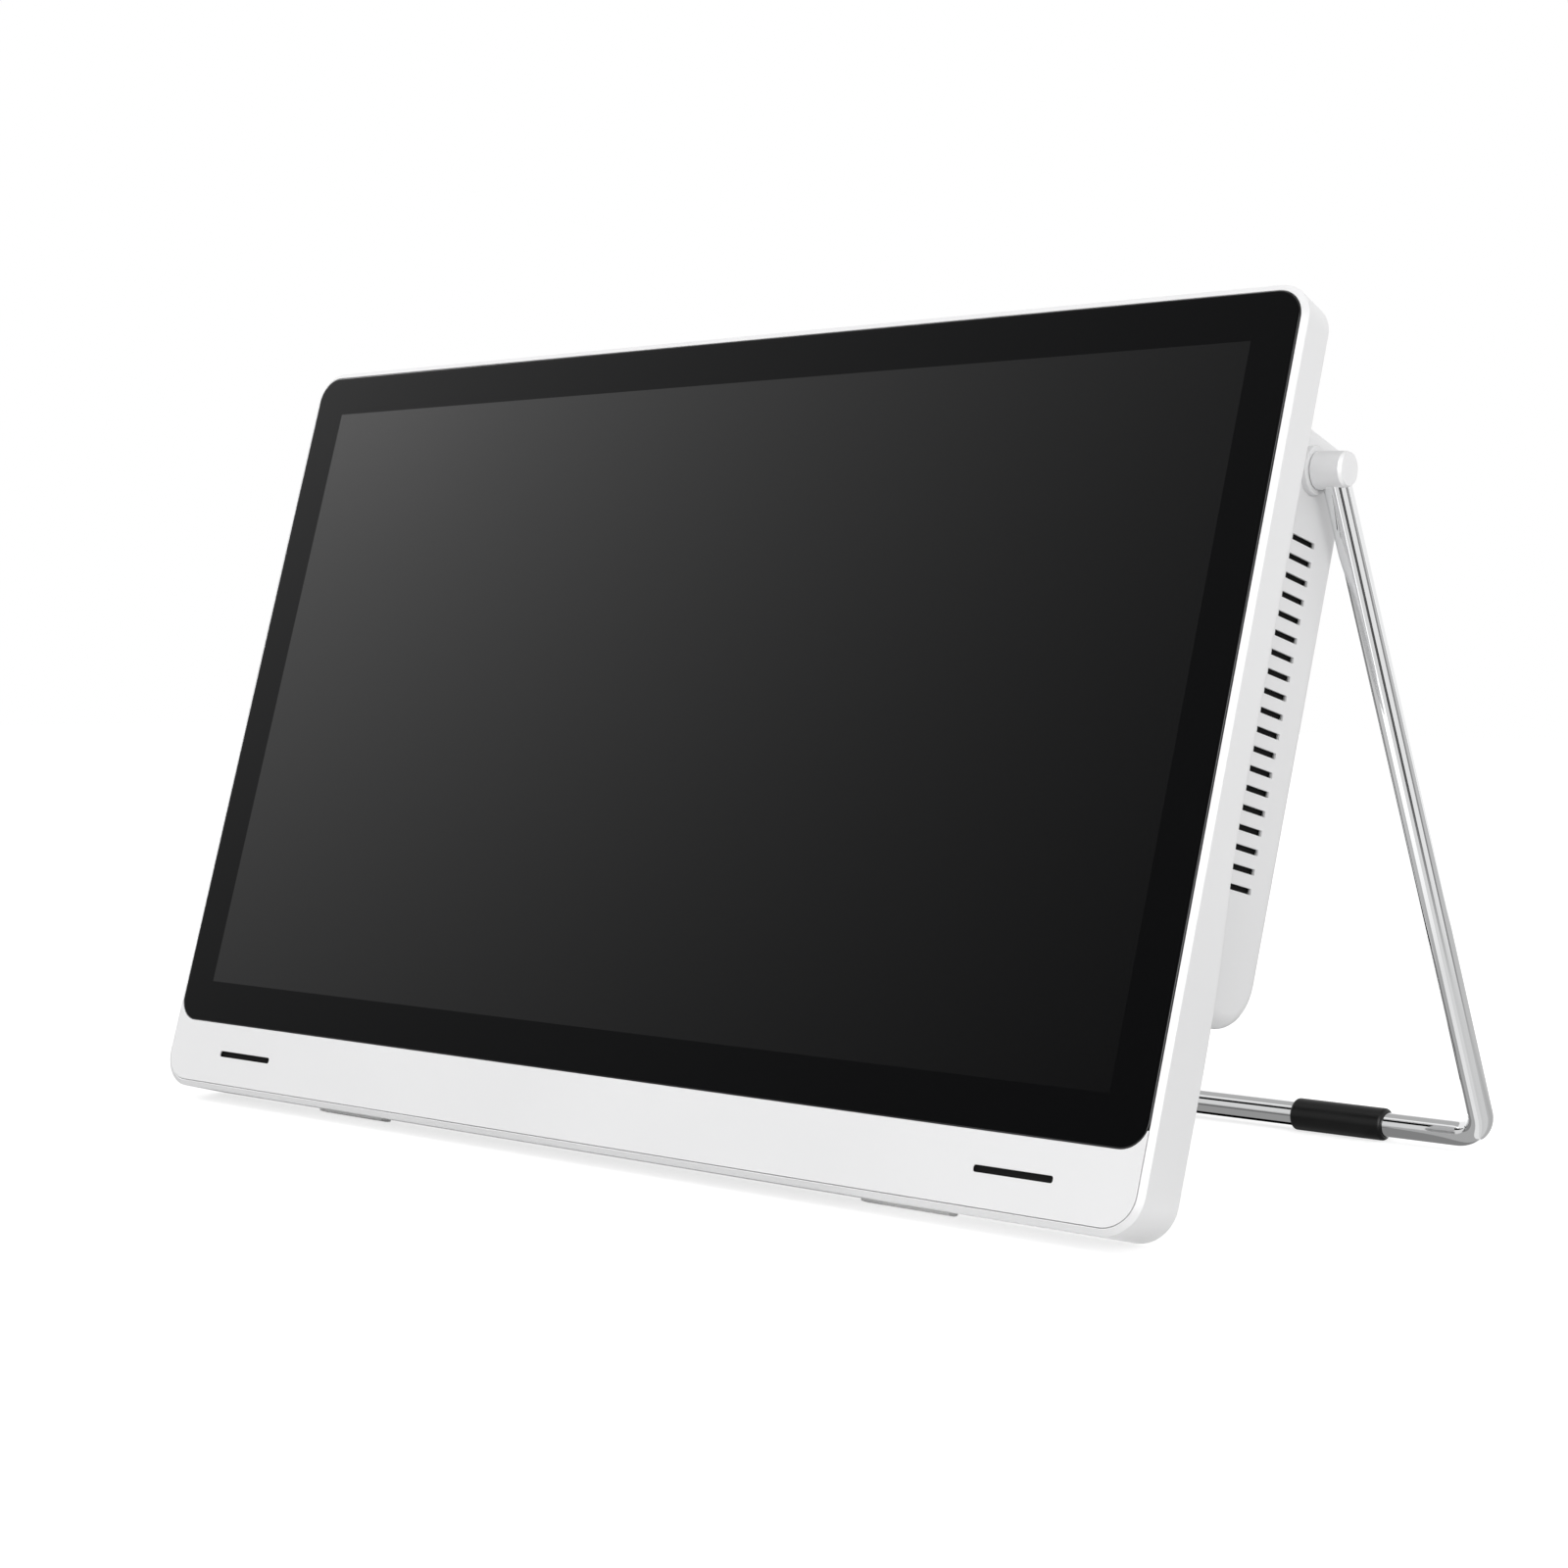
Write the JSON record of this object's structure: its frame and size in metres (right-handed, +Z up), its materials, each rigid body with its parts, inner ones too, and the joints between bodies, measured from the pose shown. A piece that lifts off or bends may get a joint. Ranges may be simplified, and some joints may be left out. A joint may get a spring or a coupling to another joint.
{
  "type": "touchscreen monitor",
  "caption": "Widescreen touchscreen monitor with an edge-to-edge glass front, slim white frame, deep vented rear housing and a fold-out U-shaped bar stand on friction hinges.",
  "frame": {"origin": "middle of the footprint, on the table, under the leaning screen and its open stand", "axes": "+X to the right seen from the front, +Y away from the user, +Z up; the screen faces -Y and leans back 17.3 degrees"},
  "size_m": [0.5181, 0.277, 0.3281],
  "materials": {
    "bar_chrome": "mirror chrome plating",
    "black_plastic": "fine-textured black moulding",
    "board_green": "solder-masked circuit board",
    "brass_post": "turned brass",
    "bush_plastic": "pale acetal, self-lubricating",
    "cable_sleeve": "braided cable sleeve",
    "clear_acrylic": "polished clear sheet",
    "diffuser": "matt white films",
    "fin_aluminium": "extruded fins",
    "foam_black": "fine black foam",
    "hinge_steel": "oiled hardened steel",
    "knuckle_metal": "satin turned metal with a bright bevel",
    "pale_silicone": "soft translucent silicone",
    "panel_glass": "dark laminated cell",
    "plated_steel": "zinc-plated sheet",
    "screen_glass": "glossy cover glass with a black printed border over the dark picture",
    "screw_steel": "blackened pan-head screws",
    "sensor_film": "thin clear film",
    "sleeve_rubber": "smooth black rubber",
    "socket_steel": "tinned sheet shells",
    "speaker_cloth": "woven acoustic cloth",
    "vent_cloth": "woven dust screen",
    "white_button": "white moulded keys",
    "white_shell": "white moulding with a polished face"
  },
  "bodies": {
    "display": {"audio_socket": "black_plastic", "board_posts": "brass_post", "board_screws": "screw_steel", "bracket_screws": "screw_steel", "button_board": "board_green", "chin_panel": "white_shell", "cover_glass": "screen_glass", "cover_screws": "screw_steel", "diffuser_films": "diffuser", "foot_left": "pale_silicone", "foot_right": "pale_silicone", "front_frame": "white_shell", "glass_tape": "foam_black", "heat_sink": "fin_aluminium", "hinge_bracket_left": "plated_steel", "hinge_bracket_right": "plated_steel", "lcd_cell": "panel_glass", "led_bar": "board_green", "light_guide": "clear_acrylic", "main_board": "board_green", "mid_plate": "plated_steel", "mount_posts": "plated_steel", "panel_board": "board_green", "panel_cable": "cable_sleeve", "panel_gasket": "foam_black", "panel_pan": "plated_steel", "pivot_bush_left": "bush_plastic", "pivot_bush_right": "bush_plastic", "plate_screws": "screw_steel", "power_board": "board_green", "power_cable": "cable_sleeve", "power_inlet": "black_plastic", "rear_cover": "white_shell", "socket_plate": "black_plastic", "speaker_cloth_left": "speaker_cloth", "speaker_cloth_right": "speaker_cloth", "speaker_left": "black_plastic", "speaker_right": "black_plastic", "touch_board": "board_green", "touch_sensor": "sensor_film", "usb_sockets": "socket_steel", "vent_screen_left": "vent_cloth", "vent_screen_right": "vent_cloth", "video_socket": "socket_steel"},
    "stand": {"stand_bar": "bar_chrome", "sleeve_right": "sleeve_rubber", "sleeve_left": "sleeve_rubber", "knuckle_right": "knuckle_metal", "knuckle_left": "knuckle_metal", "hinge_shaft_right": "hinge_steel", "hinge_shaft_left": "hinge_steel", "friction_discs_right": "hinge_steel", "friction_discs_left": "hinge_steel", "hinge_nut_right": "hinge_steel", "hinge_nut_left": "hinge_steel"},
    "power_key": {"power_button": "white_button"},
    "volume_down_key": {"volume_down_button": "white_button"},
    "volume_up_key": {"volume_up_button": "white_button"}
  },
  "joints": [
    {"name": "stand_fold", "type": "hinge", "parent": "display", "child": "stand", "pos_m": [0, -0.00886, 0.26593], "axis": [1, 0, 0], "range_deg": [-45.7, 19]},
    {"name": "power_press", "type": "slide", "parent": "display", "child": "power_key", "axis": [1, 0, 0], "range_m": [0, 0.0006], "stiffness_N_per_m": 2000, "springref_m": -0.0003},
    {"name": "volume_down_press", "type": "slide", "parent": "display", "child": "volume_down_key", "axis": [1, 0, 0], "range_m": [0, 0.0006], "stiffness_N_per_m": 2000, "springref_m": -0.0003},
    {"name": "volume_up_press", "type": "slide", "parent": "display", "child": "volume_up_key", "axis": [1, 0, 0], "range_m": [0, 0.0006], "stiffness_N_per_m": 2000, "springref_m": -0.0003}
  ]
}
